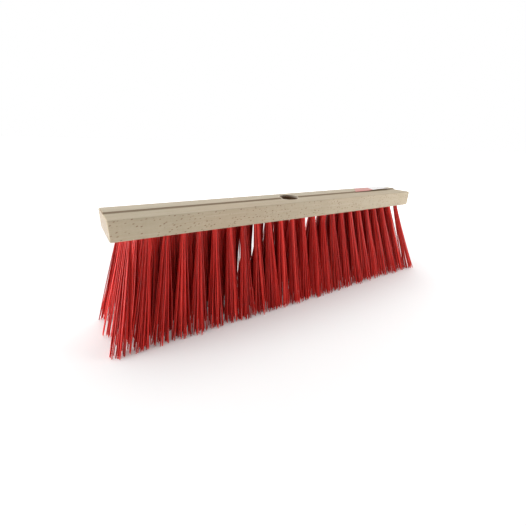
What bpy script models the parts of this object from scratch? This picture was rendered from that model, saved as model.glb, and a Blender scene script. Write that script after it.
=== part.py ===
"""Push broom head: a beech block drilled for a handle and 116 tufts of red bristle, with a paper label.

Units are metres and +Z is up. The origin is the centre of the sweeping plane, where the bristle
tips touch the floor. The block runs along X, its front is at -Y and its back at +Y.
"""
import math

import bmesh
import bpy
from mathutils import Matrix, Vector

# Block
BLOCK_LENGTH = 0.500
BLOCK_WIDTH = 0.070
BLOCK_EDGE_HEIGHT = 0.0235
BRISTLE_FREE_LENGTH = 0.127
RIDGE_HEIGHT = 0.0018
RIDGE_FRONT_FOOT = -0.0040  # the ridge's four corners across the block, front to back
RIDGE_FRONT_TOP = -0.0015
RIDGE_BACK_TOP = 0.0190
RIDGE_BACK_FOOT = 0.0215
ARRIS_WIDTH = 0.0016
ARRIS_LIMIT = math.radians(60)  # rounds the square corners and leaves the ridge's own slopes alone

# Handle socket
SOCKET_DIAMETER = 0.028
SOCKET_LEAN = math.radians(20)  # the handle leans towards the front, by this much from upright
SOCKET_SIDES = 32

# Tufts
FULL_ROW_COUNT = 24  # rows with a tuft on each side of the middle
TUFT_PITCH = 0.020
ROW_PITCH = 0.0116
ROWS_FROM_FRONT = (-2, -1, 0, 1, 2)
HOLE_DIAMETER = 0.0075
HOLE_DEPTH = 0.0155
TUFT_DIAMETER = 0.0068
TUFT_SIDES = 8
TIP_FILL = 0.47  # a tuft's half-width at its tip, as a share of the pitch of the tips there
TIP_HALF_DEPTH = 0.0093
PARTNER_PULL = 0.08  # how far a tip leans to its partner, as a share of the pitch of the tips
END_LEAN = 0.042
END_LEAN_POWER = 1.4
ROW_LEAN = 0.0112  # how far each row away from the middle one leans outwards at its tips
BEND_POWER = 1.1  # a tuft starts straight and bends outwards towards its tip
SOCKET_CLEARANCE = 0.002
SOCKET_STEP = 0.0098  # how far outwards a tuft in the socket's way is rooted

# Label
LABEL_LENGTH = 0.090
LABEL_END_MARGIN = 0.020
LABEL_FRONT = -0.0040
LABEL_BACK = 0.0300
LABEL_THICKNESS = 0.0004

TOUCH_GAP = 0.0003

UNDERSIDE = BRISTLE_FREE_LENGTH
EDGE_TOP = UNDERSIDE + BLOCK_EDGE_HEIGHT
RIDGE_TOP = EDGE_TOP + RIDGE_HEIGHT


def material(name, colour, roughness):
    made = bpy.data.materials.new(name)
    made.use_nodes = True
    shader = made.node_tree.nodes["Principled BSDF"]
    shader.inputs["Base Color"].default_value = (*colour, 1.0)
    shader.inputs["Roughness"].default_value = roughness
    shader.inputs["Metallic"].default_value = 0.0
    made.diffuse_color = (*colour, 1.0)
    return made


def add_object(name, bm, finish, smooth_angle=math.radians(35)):
    """Turns a bmesh into a named object at the origin, with its faces out and its round sides smooth."""
    bmesh.ops.recalc_face_normals(bm, faces=bm.faces)
    mesh = bpy.data.meshes.new(name)
    bm.to_mesh(mesh)
    bm.free()
    mesh.shade_smooth()
    mesh.set_sharp_from_angle(angle=smooth_angle)
    mesh.materials.append(finish)
    made = bpy.data.objects.new(name, mesh)
    bpy.context.collection.objects.link(made)
    return made


def add_loft(bm, rings):
    """A closed body through rings that have the same number of points, capped at both ends."""
    loops = [[bm.verts.new(point) for point in ring] for ring in rings]
    for lower, upper in zip(loops, loops[1:]):
        for i in range(len(lower)):
            j = (i + 1) % len(lower)
            bm.faces.new((lower[i], lower[j], upper[j], upper[i]))
    bm.faces.new(loops[0][::-1])
    bm.faces.new(loops[-1])


def ring(centre, half_x, half_y, sides):
    """An upright body's level section: an ellipse of flat sides, half_x and half_y away from the centre."""
    turns = [(i + 0.5) * math.tau / sides for i in range(sides)]
    corner = 1 / math.cos(math.pi / sides)
    return [
        centre + Vector((half_x * corner * math.cos(t), half_y * corner * math.sin(t), 0))
        for t in turns
    ]


def as_cutter(obj):
    obj.hide_render = True
    obj.display_type = "WIRE"
    return obj


def add_boolean(obj, operation, other):
    boolean = obj.modifiers.new(other.name, "BOOLEAN")
    boolean.operation = operation
    boolean.solver = "EXACT"
    boolean.object = other


def block_outline():
    """The block's section, in Y and Z, counter-clockwise seen from +X."""
    half = BLOCK_WIDTH / 2
    return [
        (half, UNDERSIDE),
        (half, EDGE_TOP),
        (RIDGE_BACK_FOOT, EDGE_TOP),
        (RIDGE_BACK_TOP, RIDGE_TOP),
        (RIDGE_FRONT_TOP, RIDGE_TOP),
        (RIDGE_FRONT_FOOT, EDGE_TOP),
        (-half, EDGE_TOP),
        (-half, UNDERSIDE),
    ]


def extrude_along_x(bm, outline, start, end):
    add_loft(bm, [[Vector((x, y, z)) for y, z in outline] for x in (start, end)])


def tuft_rows():
    """The tufts row by row from the front, as (row, [(x, root x), ...]). Every second row is staggered."""
    rows = []
    for row in ROWS_FROM_FRONT:
        staggered = row % 2 == 1
        count = FULL_ROW_COUNT - 1 if staggered else FULL_ROW_COUNT
        places = [(i - (count - 1) / 2) * TUFT_PITCH for i in range(count)]
        tufts = [(x, root_beside_socket(x, row * ROW_PITCH)) for x in places]
        rows.append((row, [tuft for tuft in tufts if tuft[1] is not None]))
    return rows


def root_beside_socket(x, y):
    """A tuft's root: its own place, or a step outwards from the socket. None if both are in the way."""
    for root in (x, x + math.copysign(SOCKET_STEP, x)):
        if not meets_socket(root, y):
            return root
    return None


def meets_socket(x, y):
    """True where a tuft's hole would run into the socket at any height."""
    reach = HOLE_DIAMETER / 2 + SOCKET_CLEARANCE
    for z in (UNDERSIDE, UNDERSIDE + HOLE_DEPTH):
        across = (y - socket_axis_y(z)) * math.cos(SOCKET_LEAN)
        if math.hypot(x, across) < SOCKET_DIAMETER / 2 + reach:
            return True
    return False


def socket_axis_y(z):
    """Where the socket's axis is at height z: it crosses the block's middle level with the front strip."""
    return (EDGE_TOP - z) * math.tan(SOCKET_LEAN)


def add_block(finish):
    bm = bmesh.new()
    extrude_along_x(bm, block_outline(), -BLOCK_LENGTH / 2, BLOCK_LENGTH / 2)
    block = add_object("block", bm, finish)
    bevel = block.modifiers.new("arrises", "BEVEL")
    bevel.width = ARRIS_WIDTH
    bevel.segments = 2
    bevel.limit_method = "ANGLE"
    bevel.angle_limit = ARRIS_LIMIT
    add_boolean(block, "DIFFERENCE", add_hole_cutters(finish))
    add_boolean(block, "DIFFERENCE", add_socket_cutter(finish))
    return block


def add_hole_cutters(finish):
    bm = bmesh.new()
    radius = HOLE_DIAMETER / 2
    for row, tufts in tuft_rows():
        for _, root in tufts:
            levels = (UNDERSIDE - HOLE_DEPTH, UNDERSIDE + HOLE_DEPTH)
            centres = [Vector((root, row * ROW_PITCH, z)) for z in levels]
            add_loft(bm, [ring(centre, radius, radius, TUFT_SIDES) for centre in centres])
    return as_cutter(add_object("tuft_hole_cutter", bm, finish))


def add_socket_cutter(finish):
    bm = bmesh.new()
    turned = Matrix.Translation(Vector((0, 0, EDGE_TOP))) @ Matrix.Rotation(SOCKET_LEAN, 4, "X")
    bmesh.ops.create_cone(
        bm,
        cap_ends=True,
        segments=SOCKET_SIDES,
        radius1=SOCKET_DIAMETER / 2,
        radius2=SOCKET_DIAMETER / 2,
        depth=3 * BLOCK_EDGE_HEIGHT,
        matrix=turned,
    )
    return as_cutter(add_object("socket_cutter", bm, finish))


def end_lean(x):
    """How far the tips of a tuft rooted at x lean towards the nearer end of the block."""
    half = BLOCK_LENGTH / 2
    return math.copysign(END_LEAN * (abs(x) / half) ** END_LEAN_POWER, x)


def add_tuft(bm, x, root_x, row, pull):
    """One tuft: round in its hole, then flaring and leaning outwards to its trimmed tip beneath x."""
    half_pitch = TUFT_PITCH / 2
    tip_pitch = TUFT_PITCH + end_lean(x + half_pitch) - end_lean(x - half_pitch)
    root = Vector((root_x, row * ROW_PITCH, UNDERSIDE))
    tip_x = x + end_lean(x) + pull * PARTNER_PULL * tip_pitch
    tip_shift = Vector((tip_x - root_x, row * ROW_LEAN, 0))
    root_radius = TUFT_DIAMETER / 2
    tip_half_width = TIP_FILL * tip_pitch
    inside = Vector((0, 0, HOLE_DEPTH - TOUCH_GAP))
    rings = [ring(root + inside, root_radius, root_radius, TUFT_SIDES)]
    for share in (0.01, 0.5, 1.0):
        centre = root + tip_shift * share**BEND_POWER - Vector((0, 0, BRISTLE_FREE_LENGTH * share))
        half_x = root_radius + (tip_half_width - root_radius) * share
        half_y = root_radius + (TIP_HALF_DEPTH - root_radius) * share
        rings.append(ring(centre, half_x, half_y, TUFT_SIDES))
    add_loft(bm, rings)


def groups_of_neighbours(places):
    """Neighbouring tufts in twos from each end inwards, and a three beside the socket on an odd side."""
    groups = []
    for side in (-1, 1):
        run = sorted((tuft for tuft in places if tuft[0] * side > 0), key=lambda tuft: -abs(tuft[0]))
        pairs = [run[i : i + 2] for i in range(0, len(run) - 1, 2)]
        if len(run) % 2:
            pairs[-1] = pairs[-1] + run[-1:]
        groups += pairs
    return sorted(sorted(group) for group in groups)


def add_tuft_groups(finish):
    """Neighbouring tufts merge at their tips, so each group of two or three is one body."""
    for number, (row, places) in enumerate(tuft_rows(), start=1):
        for index, group in enumerate(groups_of_neighbours(places), start=1):
            name = f"tufts_row{number}_{index:02d}"
            middle = sum(x for x, _ in group) / len(group)
            bodies = []
            for x, root_x in group:
                bm = bmesh.new()
                add_tuft(bm, x, root_x, row, pull=(middle - x) / (TUFT_PITCH / 2))
                bodies.append(add_object(name if not bodies else f"{name}_joined", bm, finish))
            for other in bodies[1:]:
                add_boolean(bodies[0], "UNION", as_cutter(other))


def add_label(finish):
    """A sheet stuck on the ridge's top, down its back slope and on along the back strip."""
    start = BLOCK_LENGTH / 2 - LABEL_END_MARGIN - LABEL_LENGTH
    under = [
        (LABEL_FRONT, RIDGE_TOP + TOUCH_GAP),
        (RIDGE_BACK_TOP + TOUCH_GAP, RIDGE_TOP + TOUCH_GAP),
        (RIDGE_BACK_FOOT + TOUCH_GAP, EDGE_TOP + TOUCH_GAP),
        (LABEL_BACK, EDGE_TOP + TOUCH_GAP),
    ]
    steps = [LABEL_THICKNESS if 0 < i < 3 else 0 for i in range(len(under))]
    over = [(y + step, z + LABEL_THICKNESS) for step, (y, z) in zip(steps, under)]
    bm = bmesh.new()
    extrude_along_x(bm, under + over[::-1], start, start + LABEL_LENGTH)
    return add_object("paper_label", bm, finish)


def main():
    for obj in list(bpy.data.objects):
        bpy.data.objects.remove(obj)
    beech = material("beech", (0.62, 0.47, 0.32), 0.55)
    red_bristle = material("red_bristle", (0.60, 0.010, 0.008), 0.38)
    paper = material("label_paper", (0.86, 0.80, 0.78), 0.45)
    add_block(beech)
    add_tuft_groups(red_bristle)
    add_label(paper)


main()
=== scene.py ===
import math
import random

import bmesh
import bpy
from mathutils import Matrix, Vector, noise


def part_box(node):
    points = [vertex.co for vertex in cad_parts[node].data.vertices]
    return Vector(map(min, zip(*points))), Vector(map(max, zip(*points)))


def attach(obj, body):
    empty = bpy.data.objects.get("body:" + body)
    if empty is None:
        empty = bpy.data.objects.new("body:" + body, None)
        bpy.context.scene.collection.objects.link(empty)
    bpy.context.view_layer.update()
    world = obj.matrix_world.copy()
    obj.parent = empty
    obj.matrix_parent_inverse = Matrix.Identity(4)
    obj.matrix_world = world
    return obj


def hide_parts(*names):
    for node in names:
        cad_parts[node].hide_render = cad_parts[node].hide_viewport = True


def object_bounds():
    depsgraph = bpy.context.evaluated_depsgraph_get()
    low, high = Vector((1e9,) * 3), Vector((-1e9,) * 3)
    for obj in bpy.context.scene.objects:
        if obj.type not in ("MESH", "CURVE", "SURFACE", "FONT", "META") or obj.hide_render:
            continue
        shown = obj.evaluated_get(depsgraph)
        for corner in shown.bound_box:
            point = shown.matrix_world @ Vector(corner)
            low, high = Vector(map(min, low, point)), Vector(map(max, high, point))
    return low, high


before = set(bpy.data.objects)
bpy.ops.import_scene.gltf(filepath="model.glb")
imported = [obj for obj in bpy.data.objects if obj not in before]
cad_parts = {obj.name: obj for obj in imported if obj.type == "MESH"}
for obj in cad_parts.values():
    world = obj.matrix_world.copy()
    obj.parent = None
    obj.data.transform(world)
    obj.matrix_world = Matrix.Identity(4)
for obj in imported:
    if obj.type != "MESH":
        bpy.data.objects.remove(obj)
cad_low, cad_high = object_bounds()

# The broom head's own sizes, in metres. The block's and the label's places come from the frame.
BLOCK_LOW, BLOCK_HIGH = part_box("block")
LABEL_LOW, LABEL_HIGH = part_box("paper_label")
UNDERSIDE = BLOCK_LOW.z
RIDGE_TOP = BLOCK_HIGH.z
RIDGE_HEIGHT = 0.0018
EDGE_TOP = RIDGE_TOP - RIDGE_HEIGHT
RIDGE_FRONT_FOOT = -0.0040
RIDGE_FRONT_TOP = -0.0015
RIDGE_BACK_TOP = 0.0190
RIDGE_BACK_FOOT = 0.0215
BLOCK_LENGTH = BLOCK_HIGH.x - BLOCK_LOW.x
FREE_LENGTH = UNDERSIDE - cad_low.z

SOCKET_RADIUS = 0.014
SOCKET_LEAN = math.radians(20)
ARRIS_WIDTH = 0.0019
RIDGE_EASE = 0.0005  # half the run over which each of the ridge's corners is rounded off

FULL_ROW_COUNT = 24
TUFT_PITCH = 0.020
ROW_PITCH = 0.0116
ROWS_FROM_FRONT = (-2, -1, 0, 1, 2)
HOLE_RADIUS = 0.00375
HOLE_DEPTH = 0.0155
SOCKET_CLEARANCE = 0.002
SOCKET_STEP = 0.0098

FILAMENTS_IN_TUFT = 40
FILAMENT_RADIUS = 0.00062
TUFT_ROOT_RADIUS = 0.0030
LEFT_END_LEAN = 0.033  # how far a tuft's tips would lean outwards at the very end of the block
RIGHT_END_LEAN = 0.055
END_LEAN_POWER = 1.4
ROW_LEAN = 0.0118  # how far each row away from the middle one leans outwards at its tips
TIP_HALF_DEPTH = 0.0085
TIP_FILL = 0.49  # a tuft's half-width at its tip, as a share of the pitch of the tips there
FAN_POWER = 1.04  # above 1 a tuft starts straight and bends outwards towards its tip
LOCKS_ACROSS = 1.7  # how many locks of clinging filaments fit across a tuft's half-width
BRISTLE_SEGMENTS = 9
BRISTLE_SIDES = 5
SWAY_ALONG = 0.0018  # how far a tuft may stray from its lean, along the block and across it
SWAY_ACROSS = 0.0015

STAPLE_DROP = 0.0034  # from a hole's end to the middle of its anchor staple's bend

LABEL_LIFT = 0.00035
FILM_THICKNESS = 0.00022

scatter = random.Random(11)


# ---------------------------------------------------------------- node helpers


class Wire:
    """A node's output. The arithmetic signs join it to others through Math and Vector Math nodes."""

    def __init__(self, graph, socket):
        self.graph = graph
        self.socket = socket

    def joined(self, operation, first, second):
        parts = (first, second)
        if any(is_vector(part) for part in parts):
            plain = [part for part in parts if not is_vector(part)]
            if operation == "MULTIPLY" and plain:
                vector = second if plain[0] is first else first
                links = {"Vector": vector, "Scale": plain[0]}
                return self.graph.add("ShaderNodeVectorMath", {"operation": "SCALE"}, links)
            return self.graph.add("ShaderNodeVectorMath", {"operation": operation}, {0: first, 1: second})
        return self.graph.add("ShaderNodeMath", {"operation": operation}, {0: first, 1: second})

    def __add__(self, other):
        return self.joined("ADD", self, other)

    def __radd__(self, other):
        return self.joined("ADD", other, self)

    def __sub__(self, other):
        return self.joined("SUBTRACT", self, other)

    def __rsub__(self, other):
        return self.joined("SUBTRACT", other, self)

    def __mul__(self, other):
        return self.joined("MULTIPLY", self, other)

    def __rmul__(self, other):
        return self.joined("MULTIPLY", other, self)

    def __truediv__(self, other):
        return self.joined("DIVIDE", self, other)

    def __rtruediv__(self, other):
        return self.joined("DIVIDE", other, self)

    def __pow__(self, other):
        return self.joined("POWER", self, other)


def is_vector(part):
    if isinstance(part, Wire):
        return part.socket.type == "VECTOR"
    return isinstance(part, (tuple, list, Vector))


class Graph:
    """A shader or geometry node tree that grows by one call for each node."""

    def __init__(self, tree):
        self.tree = tree

    def add(self, kind, settings=None, links=None, output=0):
        """A node with its settings made first, then its values and links. The chosen output comes back."""
        node = self.tree.nodes.new(kind)
        for name, value in (settings or {}).items():
            if name == "stops":
                set_stops(node.color_ramp, value)
            else:
                setattr(node, name, value)
        for place, value in (links or {}).items():
            self.feed(node.inputs[place], value)
        return Wire(self, node.outputs[output])

    def feed(self, socket, value):
        if isinstance(value, Wire):
            self.tree.links.new(value.socket, socket)
        else:
            socket.default_value = value

    def maths(self, operation, *values):
        return self.add("ShaderNodeMath", {"operation": operation}, dict(enumerate(values)))

    def limit(self, value):
        return self.add("ShaderNodeClamp", None, {"Value": value})

    def ramp(self, value, low, high):
        """0 below low and 1 above high, with a smooth climb between."""
        links = {"Value": value, "From Min": low, "From Max": high}
        return self.add("ShaderNodeMapRange", {"interpolation_type": "SMOOTHSTEP"}, links)

    def mix(self, share, first, second):
        return self.add("ShaderNodeMix", {"data_type": "RGBA"}, {0: share, 6: first, 7: second}, output=2)

    def parts(self, vector):
        node = self.tree.nodes.new("ShaderNodeSeparateXYZ")
        self.feed(node.inputs[0], vector)
        return [Wire(self, socket) for socket in node.outputs]

    def vector(self, x, y, z):
        return self.add("ShaderNodeCombineXYZ", None, {"X": x, "Y": y, "Z": z})

    def noise(self, place, scale, detail=2.0, roughness=0.5):
        links = {"Vector": place, "Scale": scale, "Detail": detail, "Roughness": roughness}
        return self.add("ShaderNodeTexNoise", None, links)

    def cells(self, place, scale, output="Distance"):
        return self.add("ShaderNodeTexVoronoi", None, {"Vector": place, "Scale": scale}, output=output)


def set_stops(ramp, stops):
    while len(ramp.elements) < len(stops):
        ramp.elements.new(1.0)
    for element, (place, colour) in zip(ramp.elements, stops):
        element.position = place
        element.color = (*colour, 1.0)


def rgb(red, green, blue):
    return (red, green, blue, 1.0)


def new_finish(name):
    """An empty material: its graph and its Principled shader."""
    material = bpy.data.materials.new(name)
    material.use_nodes = True
    graph = Graph(material.node_tree)
    return material, graph, material.node_tree.nodes["Principled BSDF"]


def object_place(graph):
    return graph.add("ShaderNodeTexCoord", None, None, output="Object")


# ---------------------------------------------------------------- finishes


def beech_finish():
    """Planed beech. The growth layers stand upright in the block and the rays run from front to back."""
    material, graph, shader = new_finish("planed beech")
    place = object_place(graph)
    x, y, z = graph.parts(place)

    # Growth layers: nearly upright sheets, which the pith far behind the block bends a little.
    wander = graph.noise(graph.vector(x * 2.2, y * 9.0, z * 9.0), 1.0, 3.0)
    pith = Vector((0.0, 0.36, EDGE_TOP - 0.09))
    across = graph.vector(0.0, y - pith.y, z - pith.z)
    reach = graph.add("ShaderNodeVectorMath", {"operation": "LENGTH"}, {0: across}, output="Value")
    layer = reach + (wander - 0.5) * 0.012
    layer_place = graph.vector(x * 0.6, layer * 1.0, 0.0)
    bands = graph.noise(layer_place, 330.0, 2.0, 0.6)
    broad_bands = graph.noise(layer_place, 70.0, 2.0, 0.5)

    # Fine pores drawn out along the grain.
    fibres = graph.noise(graph.vector(x * 28.0, y * 1500.0, z * 1500.0), 1.0, 3.0, 0.65)
    threads = graph.noise(graph.vector(x * 9.0, y * 420.0, z * 420.0), 1.0, 2.0, 0.55)

    # Rays: small dark lenses on the front and the back.
    along = x + z * 0.55
    ray_place = graph.vector(along * 0.42, y * 0.16, z - x * 0.35)
    ray_scale = 430.0
    ray_distance = graph.cells(ray_place, ray_scale)
    ray_pick = graph.parts(graph.cells(ray_place, ray_scale, output="Color"))[0]
    rays = (1.0 - graph.ramp(ray_distance, 0.14, 0.34)) * graph.ramp(ray_pick, 0.10, 0.75)

    clouds = graph.noise(graph.vector(x * 6.0, y * 14.0, z * 14.0), 1.0, 3.0)
    normal = graph.add("ShaderNodeNewGeometry", None, None, output="Normal")
    face = [graph.maths("ABSOLUTE", side) for side in graph.parts(normal)]
    end_share = graph.ramp(face[0], 0.80, 0.95)
    rays = rays * graph.ramp(face[1], 0.3, 0.8)

    light = rgb(0.540, 0.470, 0.345)
    deep = rgb(0.415, 0.335, 0.225)
    colour = graph.mix(graph.limit(bands * 0.55 + broad_bands * 0.6 - 0.12), light, deep)
    colour = graph.mix(graph.ramp(fibres, 0.48, 0.72) * 0.34, colour, rgb(0.40, 0.285, 0.170))
    colour = graph.mix(graph.ramp(threads, 0.5, 0.78) * 0.28, colour, rgb(0.68, 0.585, 0.45))
    colour = graph.mix(graph.ramp(clouds, 0.35, 0.75) * 0.22, colour, rgb(0.62, 0.43, 0.28))
    colour = graph.mix(rays * 0.85, colour, rgb(0.22, 0.105, 0.055))

    # The ridge has a paler top. Its sloping sides are painted darker, partly darker wood and partly painted
    # shade, and a dark line of painted shade runs along the flat at the bottom of the front slope.
    on_ridge = graph.ramp(z, RIDGE_TOP - 0.0004, RIDGE_TOP - 0.0001) * graph.ramp(y, -0.004, -0.001)
    colour = graph.mix(on_ridge * 0.18, colour, rgb(0.60, 0.56, 0.46))
    slope = graph.ramp(z, EDGE_TOP + 0.00005, EDGE_TOP + 0.0004) * (1.0 - on_ridge)
    foot_shade = 1.0 - graph.ramp(graph.maths("ABSOLUTE", y - RIDGE_FRONT_FOOT + 0.0002), 0.0006, 0.0014)
    foot_shade = foot_shade * graph.ramp(z, EDGE_TOP - 0.0005, EDGE_TOP - 0.0001)
    colour = graph.mix(graph.maths("MAXIMUM", slope * 0.9, foot_shade * 0.75), colour, rgb(0.20, 0.135, 0.075))

    # End grain: open pores, a little greyer, and darker, partly as painted shade that holds down the brightly
    # lit end face.
    pores = graph.cells(graph.vector(x * 0.05, y, z), 1900.0)
    end_grain_and_shade = graph.mix(1.0 - graph.ramp(pores, 0.1, 0.45), rgb(0.30, 0.28, 0.24), rgb(0.18, 0.14, 0.10))
    end_grain_and_shade = graph.mix(graph.limit(bands * 0.9 - 0.1), end_grain_and_shade, rgb(0.36, 0.26, 0.19))
    colour = graph.mix(end_share * 0.85, colour, end_grain_and_shade)

    # Fresh torn fibre round the socket's mouth, and painted shade that darkens the wood deeper inside the
    # bore.
    from_axis = graph.vector(x, y + (z - EDGE_TOP) * math.tan(SOCKET_LEAN), 0.0)
    away = graph.add("ShaderNodeVectorMath", {"operation": "LENGTH"}, {0: from_axis}, output="Value")
    mouth = (1.0 - graph.ramp(away, 0.0148, 0.0172)) * graph.ramp(z, EDGE_TOP - 0.0022, EDGE_TOP - 0.0002)
    colour = graph.mix(mouth * 0.55, colour, rgb(0.74, 0.66, 0.54))
    bore = (1.0 - graph.ramp(away, 0.0146, 0.0156)) * (1.0 - graph.ramp(z, EDGE_TOP - 0.003, EDGE_TOP))
    colour = graph.mix(bore * 0.9, colour, rgb(0.22, 0.135, 0.07))

    graph.feed(shader.inputs["Base Color"], colour)
    graph.feed(shader.inputs["Roughness"], graph.limit(0.50 + fibres * 0.22 + end_share * 0.12))
    planing = graph.maths("SINE", x * (math.tau / 0.0016) + wander * 3.0)
    height = fibres * -0.55 + threads * -0.3 + rays * -0.5 + planing * 0.05
    bump = graph.add("ShaderNodeBump", None, {"Strength": 0.35, "Distance": 0.0003, "Height": height})
    graph.feed(shader.inputs["Normal"], bump)
    shader.inputs["Specular IOR Level"].default_value = 0.35
    return material


def bristle_finish():
    """Extruded red filament: each one its own red, and paler at the tip on some, as painted light shining
    through their ends.
    """
    material, graph, shader = new_finish("red filament")
    tone = graph.add("ShaderNodeAttribute", {"attribute_name": "tone"}, None, output="Fac")
    along = graph.add("ShaderNodeAttribute", {"attribute_name": "along"}, None, output="Fac")
    place = object_place(graph)
    x, y, z = graph.parts(place)

    streaks = graph.noise(graph.vector(x * 900.0, y * 900.0, z * 45.0), 1.0, 2.0)
    colour = graph.add(
        "ShaderNodeValToRGB",
        {
            "stops": [
                (0.0, (0.34, 0.005, 0.003)),
                (0.35, (0.56, 0.011, 0.007)),
                (0.75, (0.76, 0.023, 0.015)),
                (1.0, (0.90, 0.060, 0.043)),
            ]
        },
        {"Fac": tone},
    )
    colour = graph.mix(graph.ramp(streaks, 0.45, 0.8) * 0.25, colour, rgb(0.90, 0.10, 0.07))
    # Painted light: paler tips on some filaments stand in for light shining through their ends.
    cut = graph.ramp(along, 0.978, 0.996) * graph.ramp(tone, 0.35, 0.8)
    colour = graph.mix(cut * 0.55, colour, rgb(0.93, 0.42, 0.36))
    graph.feed(shader.inputs["Base Color"], colour)
    graph.feed(shader.inputs["Roughness"], graph.limit(0.30 + streaks * 0.18 + cut * 0.3))
    bump = graph.add("ShaderNodeBump", None, {"Strength": 0.2, "Distance": 0.00005, "Height": streaks})
    graph.feed(shader.inputs["Normal"], bump)
    shader.inputs["Specular IOR Level"].default_value = 0.30
    return material


def label_finish():
    """Printed film: a red field at the left and a plain white one at the right, with a grey strip of painted
    shade at the back.
    """
    material, graph, shader = new_finish("printed label")
    sheet = graph.add("ShaderNodeTexCoord", None, None, output="UV")
    u, v, _ = graph.parts(sheet)
    red_share = 1.0 - graph.ramp(u + v * 0.12, 0.50, 0.53)
    # Painted shade: the back part of the sheet, beyond the ridge, is greyed as if in shadow.
    back_shade_strip = graph.ramp(v, 0.80, 0.82)
    ink = graph.noise(graph.vector(u * 60.0, v * 30.0, 0.0), 1.0, 3.0, 0.6)
    paper = graph.mix(graph.ramp(ink, 0.3, 0.8) * 0.08, rgb(0.88, 0.86, 0.85), rgb(0.72, 0.70, 0.70))
    red = graph.mix(graph.ramp(ink, 0.3, 0.7) * 0.4, rgb(0.60, 0.20, 0.165), rgb(0.70, 0.36, 0.31))
    colour = graph.mix(red_share, paper, red)
    colour = graph.mix(back_shade_strip * 0.8, colour, rgb(0.46, 0.45, 0.47))
    graph.feed(shader.inputs["Base Color"], colour)
    graph.feed(shader.inputs["Roughness"], graph.limit(0.30 + ink * 0.2))
    crease = graph.noise(graph.vector(u * 14.0, v * 8.0, 0.0), 1.0, 2.0)
    bump = graph.add("ShaderNodeBump", None, {"Strength": 0.15, "Distance": 0.0004, "Height": crease})
    graph.feed(shader.inputs["Normal"], bump)
    return material


def staple_finish():
    """Bright drawn wire with fine lines along it."""
    material, graph, shader = new_finish("anchor wire")
    x, y, z = graph.parts(object_place(graph))
    lines = graph.noise(graph.vector(x * 300.0, y * 4000.0, z * 4000.0), 1.0, 2.0)
    graph.feed(shader.inputs["Base Color"], graph.mix(lines, rgb(0.42, 0.42, 0.43), rgb(0.66, 0.66, 0.67)))
    graph.feed(shader.inputs["Roughness"], graph.limit(0.25 + lines * 0.25))
    shader.inputs["Metallic"].default_value = 1.0
    return material


def floor_finish():
    """Pale paper near the broom head, which goes over into the bright backdrop further away."""
    material, graph, shader = new_finish("pale floor")
    x, y, _ = graph.parts(object_place(graph))
    flat = graph.vector(x, y, 0.0)
    away = graph.add("ShaderNodeVectorMath", {"operation": "LENGTH"}, {0: flat}, output="Value")
    far = graph.ramp(away, 0.35, 1.1)
    speckle = graph.noise(flat, 3.0, 2.0)
    paper = graph.mix(speckle * 0.1, rgb(0.90, 0.90, 0.90), rgb(0.86, 0.86, 0.86))
    graph.feed(shader.inputs["Base Color"], paper)
    shader.inputs["Roughness"].default_value = 0.9
    shader.inputs["Specular IOR Level"].default_value = 0.0
    glow = graph.mix(far, rgb(0.12, 0.12, 0.12), rgb(0.75, 0.75, 0.75))
    graph.feed(shader.inputs["Emission Color"], glow)
    shader.inputs["Emission Strength"].default_value = 1.0
    return material


# ---------------------------------------------------------------- shapes


def mesh_object(name, bm, finish=None):
    mesh = bpy.data.meshes.new(name)
    bm.to_mesh(mesh)
    bm.free()
    if finish:
        mesh.materials.append(finish)
    made = bpy.data.objects.new(name, mesh)
    bpy.context.collection.objects.link(made)
    return made


def plain_mesh(obj):
    """The object's evaluated shape, with no modifiers left on it."""
    graph = bpy.context.evaluated_depsgraph_get()
    mesh = bpy.data.meshes.new_from_object(obj.evaluated_get(graph), depsgraph=graph)
    obj.modifiers.clear()
    obj.data = mesh
    mesh.name = obj.name
    return obj


def add_loft(bm, rings):
    """A closed body through rings that have the same number of points, capped at both ends."""
    loops = [[bm.verts.new(point) for point in ring] for ring in rings]
    for lower, upper in zip(loops, loops[1:]):
        for i in range(len(lower)):
            j = (i + 1) % len(lower)
            bm.faces.new((lower[i], lower[j], upper[j], upper[i]))
    bm.faces.new(loops[0][::-1])
    bm.faces.new(loops[-1])
    bmesh.ops.recalc_face_normals(bm, faces=bm.faces)


def socket_axis_y(z):
    return (EDGE_TOP - z) * math.tan(SOCKET_LEAN)


def meets_socket(x, y):
    reach = HOLE_RADIUS + SOCKET_CLEARANCE
    for z in (UNDERSIDE, UNDERSIDE + HOLE_DEPTH):
        across = (y - socket_axis_y(z)) * math.cos(SOCKET_LEAN)
        if math.hypot(x, across) < SOCKET_RADIUS + reach:
            return True
    return False


def root_beside_socket(x, y):
    """A tuft's root: its own place, or a step outwards from the socket. None if both are in the way."""
    for root in (x, x + math.copysign(SOCKET_STEP, x)):
        if not meets_socket(root, y):
            return root
    return None


def tuft_rows():
    """The tufts row by row from the front, as (row, [(x, root x), ...]). Every second row is staggered."""
    rows = []
    for row in ROWS_FROM_FRONT:
        count = FULL_ROW_COUNT - row % 2
        places = [(i - (count - 1) / 2) * TUFT_PITCH for i in range(count)]
        tufts = [(x, root_beside_socket(x, row * ROW_PITCH)) for x in places]
        rows.append((row, [tuft for tuft in tufts if tuft[1] is not None]))
    return rows


def groups_of_neighbours(tufts):
    """The frame's own grouping: twos from each end inwards, with a three beside the socket on an odd side."""
    groups = []
    for side in (-1, 1):
        run = sorted((tuft for tuft in tufts if tuft[0] * side > 0), key=lambda tuft: -abs(tuft[0]))
        pairs = [run[i : i + 2] for i in range(0, len(run) - 1, 2)]
        if len(run) % 2:
            pairs[-1] = pairs[-1] + run[-1:]
        groups += pairs
    return sorted(sorted(group) for group in groups)


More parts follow.
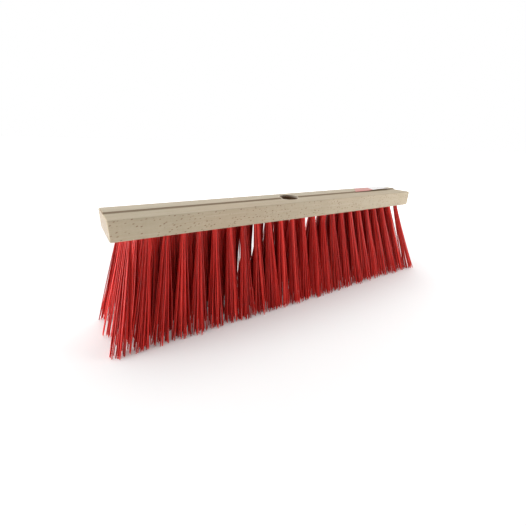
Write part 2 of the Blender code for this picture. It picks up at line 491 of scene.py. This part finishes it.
def block_outline():
    """The block's section in Y and Z. The ridge stands behind the middle and has rounded corners."""
    half = (BLOCK_HIGH.y - BLOCK_LOW.y) / 2
    ease = RIDGE_EASE
    return [
        (half, UNDERSIDE),
        (half, EDGE_TOP),
        (RIDGE_BACK_FOOT + ease, EDGE_TOP),
        (RIDGE_BACK_FOOT - ease, EDGE_TOP + 0.2 * RIDGE_HEIGHT),
        (RIDGE_BACK_TOP + ease, RIDGE_TOP - 0.2 * RIDGE_HEIGHT),
        (RIDGE_BACK_TOP - ease, RIDGE_TOP),
        (RIDGE_FRONT_TOP + ease, RIDGE_TOP),
        (RIDGE_FRONT_TOP - ease, RIDGE_TOP - 0.2 * RIDGE_HEIGHT),
        (RIDGE_FRONT_FOOT + ease, EDGE_TOP + 0.2 * RIDGE_HEIGHT),
        (RIDGE_FRONT_FOOT - ease, EDGE_TOP),
        (-half, EDGE_TOP),
        (-half, UNDERSIDE),
    ]


def hole_cutter():
    """All the tuft holes, each with a small countersink at the underside."""
    bm = bmesh.new()
    sides, sink = 14, 0.0006
    turns = [i * math.tau / sides for i in range(sides)]
    for row, tufts in tuft_rows():
        for _, root_x in tufts:
            rings = []
            for z in (UNDERSIDE - 0.004, UNDERSIDE, UNDERSIDE + 0.0008, UNDERSIDE + HOLE_DEPTH):
                radius = HOLE_RADIUS + (sink if z <= UNDERSIDE else 0.0)
                centre = Vector((root_x, row * ROW_PITCH, z))
                rings.append([centre + Vector((math.cos(t), math.sin(t), 0)) * radius for t in turns])
            add_loft(bm, rings)
    return mesh_object("tuft_holes", bm)


def socket_cutter():
    """The drilled bore, whose mouth is torn a little wider at random places, most of all at the front."""
    sides = 80
    mouth = Vector((0, 0, EDGE_TOP))
    lean = Matrix.Rotation(SOCKET_LEAN, 3, "X")
    rings = []
    reach = 0.045
    levels = [-reach, -0.0120, -0.0060, -0.0045, -0.0030, -0.0015, 0.0, 0.0015, 0.0030, 0.0045, 0.0060, reach]
    for level in levels:
        ring = []
        for i in range(sides):
            turn = i * math.tau / sides
            way = Vector((math.cos(turn), math.sin(turn), 0))
            towards_front = max(0.0, -way.y)
            place = mouth + lean @ (way * SOCKET_RADIUS + Vector((0, 0, level)))
            under_surface = EDGE_TOP + 0.0006 - place.z
            spot = Vector((way.x, way.y, 0.0)) * 5.5 + Vector((3.1, 0, level * 90))
            tear = max(0.0, noise.noise(spot) - 0.05)
            tear *= (0.0006 + 0.0030 * towards_front) * max(0.0, 1 - max(0.0, under_surface) / 0.0035)
            ring.append(mouth + lean @ (way * (SOCKET_RADIUS + tear) + Vector((0, 0, level))))
        rings.append(ring)
    bm = bmesh.new()
    add_loft(bm, rings)
    return mesh_object("socket_bore", bm)


def make_block(finish):
    bm = bmesh.new()
    add_loft(bm, [[Vector((x, y, z)) for y, z in block_outline()] for x in (BLOCK_LOW.x, BLOCK_HIGH.x)])
    block = mesh_object("beech_block", bm, finish)
    bevel = block.modifiers.new("arrises", "BEVEL")
    bevel.width = ARRIS_WIDTH
    bevel.segments = 4
    bevel.limit_method = "ANGLE"
    bevel.angle_limit = math.radians(60)
    cutters = [hole_cutter(), socket_cutter()]
    for cutter in cutters:
        cut = block.modifiers.new(cutter.name, "BOOLEAN")
        cut.operation = "DIFFERENCE"
        cut.solver = "EXACT"
        cut.object = cutter
    plain_mesh(block)
    for cutter in cutters:
        bpy.data.objects.remove(cutter)
    block.data.shade_smooth()
    block.data.set_sharp_from_angle(angle=math.radians(32))
    return block


def add_input(tree, name, kind, default=None):
    socket = tree.interface.new_socket(name, in_out="INPUT", socket_type=kind)
    if default is not None:
        socket.default_value = default
    return socket


def bristle_tree():
    """Filaments fanned out of each tuft's hole. The points carry the tuft's lean and spread as attributes."""
    tree = bpy.data.node_groups.new("tuft of bristles", "GeometryNodeTree")
    add_input(tree, "Tufts", "NodeSocketGeometry")
    add_input(tree, "Filaments", "NodeSocketInt", FILAMENTS_IN_TUFT)
    add_input(tree, "Root Radius", "NodeSocketFloat", TUFT_ROOT_RADIUS)
    add_input(tree, "Filament Radius", "NodeSocketFloat", FILAMENT_RADIUS)
    add_input(tree, "Free Length", "NodeSocketFloat", FREE_LENGTH)
    add_input(tree, "Buried Length", "NodeSocketFloat", HOLE_DEPTH - 0.002)
    add_input(tree, "Tip Scatter", "NodeSocketFloat", 0.0012)
    add_input(tree, "Bow", "NodeSocketFloat", 0.0012)
    add_input(tree, "Lock Pull", "NodeSocketFloat", 0.5)
    add_input(tree, "Raggedness", "NodeSocketFloat", 0.018)
    add_input(tree, "Seed", "NodeSocketInt", 0)
    add_input(tree, "Finish", "NodeSocketMaterial")
    tree.interface.new_socket("Bristles", in_out="OUTPUT", socket_type="NodeSocketGeometry")
    graph = Graph(tree)
    given = tree.nodes.new("NodeGroupInput")
    wires = {socket.name: Wire(graph, socket) for socket in given.outputs if socket.name}

    def chance(low, high, salt):
        settings = {"data_type": "FLOAT"}
        links = {2: low, 3: high, "Seed": wires["Seed"] * 13.0 + float(salt)}
        return graph.add("FunctionNodeRandomValue", settings, links, output=1)

    def noted(geometry, name, value, kind="FLOAT"):
        settings = {"data_type": kind, "domain": "POINT"}
        links = {"Geometry": geometry, "Name": name, "Value": value}
        return graph.add("GeometryNodeStoreNamedAttribute", settings, links)

    def read(name, kind="FLOAT"):
        return graph.add("GeometryNodeInputNamedAttribute", {"data_type": kind}, {"Name": name})

    points = graph.add("GeometryNodeMeshToPoints", None, {"Mesh": wires["Tufts"]})
    links = {"Geometry": points, "Amount": wires["Filaments"]}
    many = graph.add("GeometryNodeDuplicateElements", {"domain": "POINT"}, links)
    number = Wire(graph, many.socket.node.outputs["Duplicate Index"])

    golden_turn = math.pi * (3 - math.sqrt(5))
    turn = number * golden_turn
    rim = graph.maths("SQRT", (number + 0.5) / wires["Filaments"])
    disc = graph.vector(rim * graph.maths("COSINE", turn), rim * graph.maths("SINE", turn), 0.0)
    unruly = chance(0.0, 1.0, 5) ** 16.0 * 4.0 + 0.7
    stray = graph.vector(chance(-1.0, 1.0, 1), chance(-1.0, 1.0, 2), 0.0) * (wires["Tip Scatter"] * unruly)

    # Filaments that touch cling together, so a tuft parts into a few locks at its tip.
    parting = read("parting", "FLOAT_VECTOR")
    cell = graph.add("ShaderNodeVectorMath", {"operation": "FLOOR"}, {0: disc * LOCKS_ACROSS + parting})
    lock = (cell + (0.5, 0.5, 0.0) - parting) * (1 / LOCKS_ACROSS)
    tip_disc = disc + (lock - disc) * wires["Lock Pull"]
    tip = read("lean", "FLOAT_VECTOR") + tip_disc * read("spread", "FLOAT_VECTOR") + stray
    bow = graph.vector(chance(-1.0, 1.0, 3), chance(-1.0, 1.0, 4), 0.0) * wires["Bow"]
    cut = 1.0 - chance(0.0, 1.0, 6) * wires["Raggedness"] - chance(0.0, 1.0, 7) ** 14.0 * 0.07
    tone = graph.limit(chance(0.0, 1.0, 8) * 0.8 + chance(0.0, 1.0, 9) ** 5.0 * 0.5)

    place = graph.add("GeometryNodeInputPosition")
    kept = noted(many, "hole", place, "FLOAT_VECTOR")
    kept = noted(kept, "root", disc * wires["Root Radius"], "FLOAT_VECTOR")
    kept = noted(kept, "tip", tip, "FLOAT_VECTOR")
    kept = noted(kept, "bow", bow, "FLOAT_VECTOR")
    kept = noted(kept, "cut", cut)
    kept = noted(kept, "tone", tone)
    kept = noted(kept, "thickness", chance(0.84, 1.12, 10))

    line = graph.add("GeometryNodeCurvePrimitiveLine", None, {"Start": (0, 0, 0), "End": (0, 0, -1)})
    line = graph.add("GeometryNodeResampleCurve", None, {"Curve": line, "Count": BRISTLE_SEGMENTS + 1})
    copies = graph.add("GeometryNodeInstanceOnPoints", None, {"Points": kept, "Instance": line})
    curves = graph.add("GeometryNodeRealizeInstances", None, {"Geometry": copies})

    share = graph.add("GeometryNodeSplineParameter")
    free = wires["Free Length"]
    buried = wires["Buried Length"]
    travel = share * (buried + free * read("cut")) - buried
    below = graph.maths("MAXIMUM", travel, 0.0) / free
    fan = below**FAN_POWER
    swell = below * (1.0 - below) * 4.0
    root = read("root", "FLOAT_VECTOR")
    across = root + (read("tip", "FLOAT_VECTOR") - root) * fan + read("bow", "FLOAT_VECTOR") * swell
    new_place = read("hole", "FLOAT_VECTOR") + across - graph.vector(0.0, 0.0, travel)
    curves = graph.add("GeometryNodeSetPosition", None, {"Geometry": curves, "Position": new_place})
    curves = noted(curves, "along", share)

    links = {"Resolution": BRISTLE_SIDES, "Radius": wires["Filament Radius"]}
    outline = graph.add("GeometryNodeCurvePrimitiveCircle", {"mode": "RADIUS"}, links)
    links = {"Curve": curves, "Profile Curve": outline, "Scale": read("thickness"), "Fill Caps": True}
    mesh = graph.add("GeometryNodeCurveToMesh", None, links)
    mesh = graph.add("GeometryNodeSetShadeSmooth", None, {"Geometry": mesh})
    mesh = graph.add("GeometryNodeRealizeInstances", None, {"Geometry": mesh})
    mesh = graph.add("GeometryNodeSetMaterial", None, {"Geometry": mesh, "Material": wires["Finish"]})
    end = tree.nodes.new("NodeGroupOutput")
    graph.feed(end.inputs[0], mesh)
    return tree


def set_inputs(modifier, values):
    """The modifier's inputs, each found by its socket's identifier."""
    for item in modifier.node_group.interface.items_tree:
        if item.in_out == "INPUT" and item.name in values:
            modifier[item.identifier] = values[item.name]


def end_lean(x):
    half = BLOCK_LENGTH / 2
    if x < 0:
        return -LEFT_END_LEAN * (-x / half) ** END_LEAN_POWER
    return RIGHT_END_LEAN * (x / half) ** END_LEAN_POWER


def tuft_points(name, row, group):
    """A point for each tuft, with the way that it leans and how far it spreads at its tips."""
    mesh = bpy.data.meshes.new(name)
    mesh.from_pydata([(root_x, row * ROW_PITCH, UNDERSIDE) for _, root_x in group], [], [])
    lean = mesh.attributes.new("lean", "FLOAT_VECTOR", "POINT")
    spread = mesh.attributes.new("spread", "FLOAT_VECTOR", "POINT")
    parting = mesh.attributes.new("parting", "FLOAT_VECTOR", "POINT")
    for i, (x, root_x) in enumerate(group):
        half_pitch = TUFT_PITCH / 2
        tip_pitch = TUFT_PITCH + end_lean(x + half_pitch) - end_lean(x - half_pitch)
        sway_x = scatter.uniform(-SWAY_ALONG, SWAY_ALONG)
        sway_y = scatter.uniform(-SWAY_ACROSS, SWAY_ACROSS)
        lean.data[i].vector = (x - root_x + end_lean(x) + sway_x, row * ROW_LEAN + sway_y, 0.0)
        parting.data[i].vector = (scatter.random(), scatter.random(), 0.0)
        plump = scatter.uniform(0.90, 1.10)
        half_depth = TIP_HALF_DEPTH * scatter.uniform(0.9, 1.1)
        spread.data[i].vector = (TIP_FILL * tip_pitch * plump, half_depth, 0.0)
    made = bpy.data.objects.new(name, mesh)
    bpy.context.collection.objects.link(made)
    return made


def make_bristles(tree, finish):
    """One piece for each of the frame's groups of tufts."""
    made = []
    for number, (row, tufts) in enumerate(tuft_rows(), start=1):
        for index, group in enumerate(groups_of_neighbours(tufts), start=1):
            node = f"tufts_row{number}_{index:02d}"
            bristles = tuft_points(f"bristles_row{number}_{index:02d}", row, group)
            modifier = bristles.modifiers.new("bristles", "NODES")
            modifier.node_group = tree
            set_inputs(modifier, {"Seed": len(made) + 1, "Finish": finish})
            plain_mesh(bristles)
            for spare in ("hole", "root", "tip", "bow", "cut", "thickness", "lean", "spread", "parting"):
                if spare in bristles.data.attributes:
                    bristles.data.attributes.remove(bristles.data.attributes[spare])
            made.append((bristles, node))
    return made


def staple_tree():
    """A bent flat wire at the bottom of each tuft's hole, turned at random."""
    tree = bpy.data.node_groups.new("anchor staples", "GeometryNodeTree")
    add_input(tree, "Holes", "NodeSocketGeometry")
    add_input(tree, "Bend Radius", "NodeSocketFloat", 0.0024)
    add_input(tree, "Wire Width", "NodeSocketFloat", 0.0016)
    add_input(tree, "Wire Thickness", "NodeSocketFloat", 0.0004)
    add_input(tree, "Seed", "NodeSocketInt", 3)
    add_input(tree, "Finish", "NodeSocketMaterial")
    tree.interface.new_socket("Staples", in_out="OUTPUT", socket_type="NodeSocketGeometry")
    graph = Graph(tree)
    given = tree.nodes.new("NodeGroupInput")
    wires = {socket.name: Wire(graph, socket) for socket in given.outputs if socket.name}
    bend = graph.add(
        "GeometryNodeCurveArc",
        {"mode": "RADIUS"},
        {"Resolution": 9, "Radius": wires["Bend Radius"], "Start Angle": 0.0, "Sweep Angle": math.pi},
    )
    links = {"Width": wires["Wire Thickness"], "Height": wires["Wire Width"]}
    outline = graph.add("GeometryNodeCurvePrimitiveQuadrilateral", None, links)
    links = {"Curve": bend, "Profile Curve": outline, "Fill Caps": True}
    staple = graph.add("GeometryNodeCurveToMesh", None, links)
    turn = graph.add(
        "FunctionNodeRandomValue",
        {"data_type": "FLOAT"},
        {2: -0.5, 3: 0.5, "Seed": wires["Seed"]},
        output=1,
    )
    rotation = graph.add("FunctionNodeEulerToRotation", None, {0: graph.vector(math.pi / 2, 0.0, turn)})
    links = {"Points": wires["Holes"], "Instance": staple, "Rotation": rotation}
    copies = graph.add("GeometryNodeInstanceOnPoints", None, links)
    mesh = graph.add("GeometryNodeRealizeInstances", None, {"Geometry": copies})
    mesh = graph.add("GeometryNodeSetMaterial", None, {"Geometry": mesh, "Material": wires["Finish"]})
    end = tree.nodes.new("NodeGroupOutput")
    graph.feed(end.inputs[0], mesh)
    return tree


def make_staples(finish):
    top = UNDERSIDE + HOLE_DEPTH - STAPLE_DROP
    mesh = bpy.data.meshes.new("anchor_staples")
    mesh.from_pydata([(x, row * ROW_PITCH, top) for row, tufts in tuft_rows() for _, x in tufts], [], [])
    staples = bpy.data.objects.new("anchor_staples", mesh)
    bpy.context.collection.objects.link(staples)
    modifier = staples.modifiers.new("staples", "NODES")
    modifier.node_group = staple_tree()
    set_inputs(modifier, {"Finish": finish})
    return plain_mesh(staples)


def make_label(finish):
    """A thin sheet over the ridge's top, down its back slope and along the back strip. It sits askew and one
    corner has lifted."""
    lift = LABEL_LIFT
    path = [
        Vector((LABEL_LOW.y - 0.0008, RIDGE_TOP + lift)),
        Vector((RIDGE_BACK_TOP - 0.0004, RIDGE_TOP + lift)),
        Vector((RIDGE_BACK_FOOT + 0.0012, EDGE_TOP + lift + 0.0003)),
        Vector((LABEL_HIGH.y, EDGE_TOP + lift)),
    ]
    lengths = [0.0]
    for first, second in zip(path, path[1:]):
        lengths.append(lengths[-1] + (second - first).length)
    along_count, across_count = 48, 40
    curl_height, droop_depth, wave_height = 0.0009, 0.0009, 0.00012
    left_askew, right_askew = 0.036, 0.018
    bm = bmesh.new()
    sheet = bm.loops.layers.uv.new("sheet")
    verts = []
    for i in range(along_count + 1):
        u = i / along_count
        column = []
        for j in range(across_count + 1):
            v = j / across_count
            run = v * lengths[-1]
            leg = max(k for k in range(len(path) - 1) if run >= lengths[k] - 1e-9)
            step = (run - lengths[leg]) / (lengths[leg + 1] - lengths[leg])
            y, z = path[leg].lerp(path[leg + 1], min(step, 1.0))
            front = max(0.0, 0.22 - v) / 0.22
            curl = front * min(1.0, max(0.0, u - 0.42) / 0.2)
            droop = droop_depth * max(0.0, 0.12 - v) / 0.12 * min(1.0, max(0.0, 0.48 - u) / 0.1)
            wave = noise.noise(Vector((u * 5.0, v * 3.0, 0.7))) * wave_height
            askew = v * (left_askew + (right_askew - left_askew) * u)
            x = LABEL_LOW.x + u * (LABEL_HIGH.x - LABEL_LOW.x) + askew
            z += curl_height * curl**1.5 + abs(wave) - droop
            column.append((bm.verts.new((x, y - curl * 0.0004, z)), u, v))
        verts.append(column)
    for i in range(along_count):
        for j in range(across_count):
            corners = (verts[i][j], verts[i + 1][j], verts[i + 1][j + 1], verts[i][j + 1])
            face = bm.faces.new([corner[0] for corner in corners])
            for loop, (_, u, v) in zip(face.loops, corners):
                loop[sheet].uv = (u, v)
    label = mesh_object("printed_label", bm, finish)
    solid = label.modifiers.new("film", "SOLIDIFY")
    solid.thickness = FILM_THICKNESS
    solid.offset = 1.0
    plain_mesh(label)
    label.data.shade_smooth()
    label.data.set_sharp_from_angle(angle=math.radians(50))
    return label


# ---------------------------------------------------------------- studio

CAMERA_PLACE = Vector((-0.2776, -0.3597, 0.2280))
CAMERA_TURN = math.radians(33.29)
CAMERA_DIP = math.radians(22.09)
CAMERA_ROLL = math.radians(1.92)
CAMERA_LENS = 20.604


def add_camera():
    data = bpy.data.cameras.new("camera")
    data.lens = CAMERA_LENS
    data.clip_start = 0.01
    camera = bpy.data.objects.new("camera", data)
    turned = (
        Matrix.Rotation(-CAMERA_TURN, 4, "Z")
        @ Matrix.Rotation(math.pi / 2 - CAMERA_DIP, 4, "X")
        @ Matrix.Rotation(CAMERA_ROLL, 4, "Z")
    )
    camera.matrix_world = Matrix.Translation(CAMERA_PLACE) @ turned
    bpy.context.collection.objects.link(camera)
    bpy.context.scene.camera = camera


def add_softbox(name, place, aim, size, power):
    data = bpy.data.lights.new(name, "AREA")
    data.shape = "RECTANGLE"
    data.size, data.size_y = size
    data.energy = power
    light = bpy.data.objects.new(name, data)
    light.location = place
    light.rotation_euler = (Vector(aim) - Vector(place)).to_track_quat("-Z", "Y").to_euler()
    bpy.context.collection.objects.link(light)


def add_studio():
    bm = bmesh.new()
    bmesh.ops.create_grid(bm, x_segments=8, y_segments=8, size=20.0)
    floor = mesh_object("floor", bm, floor_finish())

    world = bpy.data.worlds.new("studio")
    bpy.context.scene.world = world
    world.use_nodes = True
    graph = Graph(world.node_tree)
    way = graph.add("ShaderNodeTexCoord", None, None, output="Generated")
    behind = graph.ramp(graph.parts(way)[1], -0.35, 0.25)
    sky = graph.mix(behind, rgb(0.07, 0.07, 0.072), rgb(1.0, 1.0, 1.0))
    graph.feed(world.node_tree.nodes["Background"].inputs["Color"], sky)
    world.node_tree.nodes["Background"].inputs["Strength"].default_value = 1.0

    add_softbox("overhead", (-0.1, 0.3, 1.5), (0.0, 0.0, 0.1), (1.6, 1.2), 9.0)
    add_softbox("left", (-1.1, 0.05, 0.12), (-0.25, 0.0, 0.05), (0.6, 0.30), 10.0)
    add_softbox("right_front", (0.75, -0.65, 0.30), (0.20, -0.04, 0.12), (0.5, 0.4), 5.0)
    bpy.context.scene.view_settings.view_transform = "Standard"


# ---------------------------------------------------------------- the broom head


def main():
    add_camera()
    add_studio()
    block = make_block(beech_finish())
    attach(block, "root")
    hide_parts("block")
    for bristles, node in make_bristles(bristle_tree(), bristle_finish()):
        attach(bristles, "root")
        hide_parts(node)
    label = make_label(label_finish())
    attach(label, "root")
    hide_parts("paper_label")
    staples = make_staples(staple_finish())
    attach(staples, "root")


main()
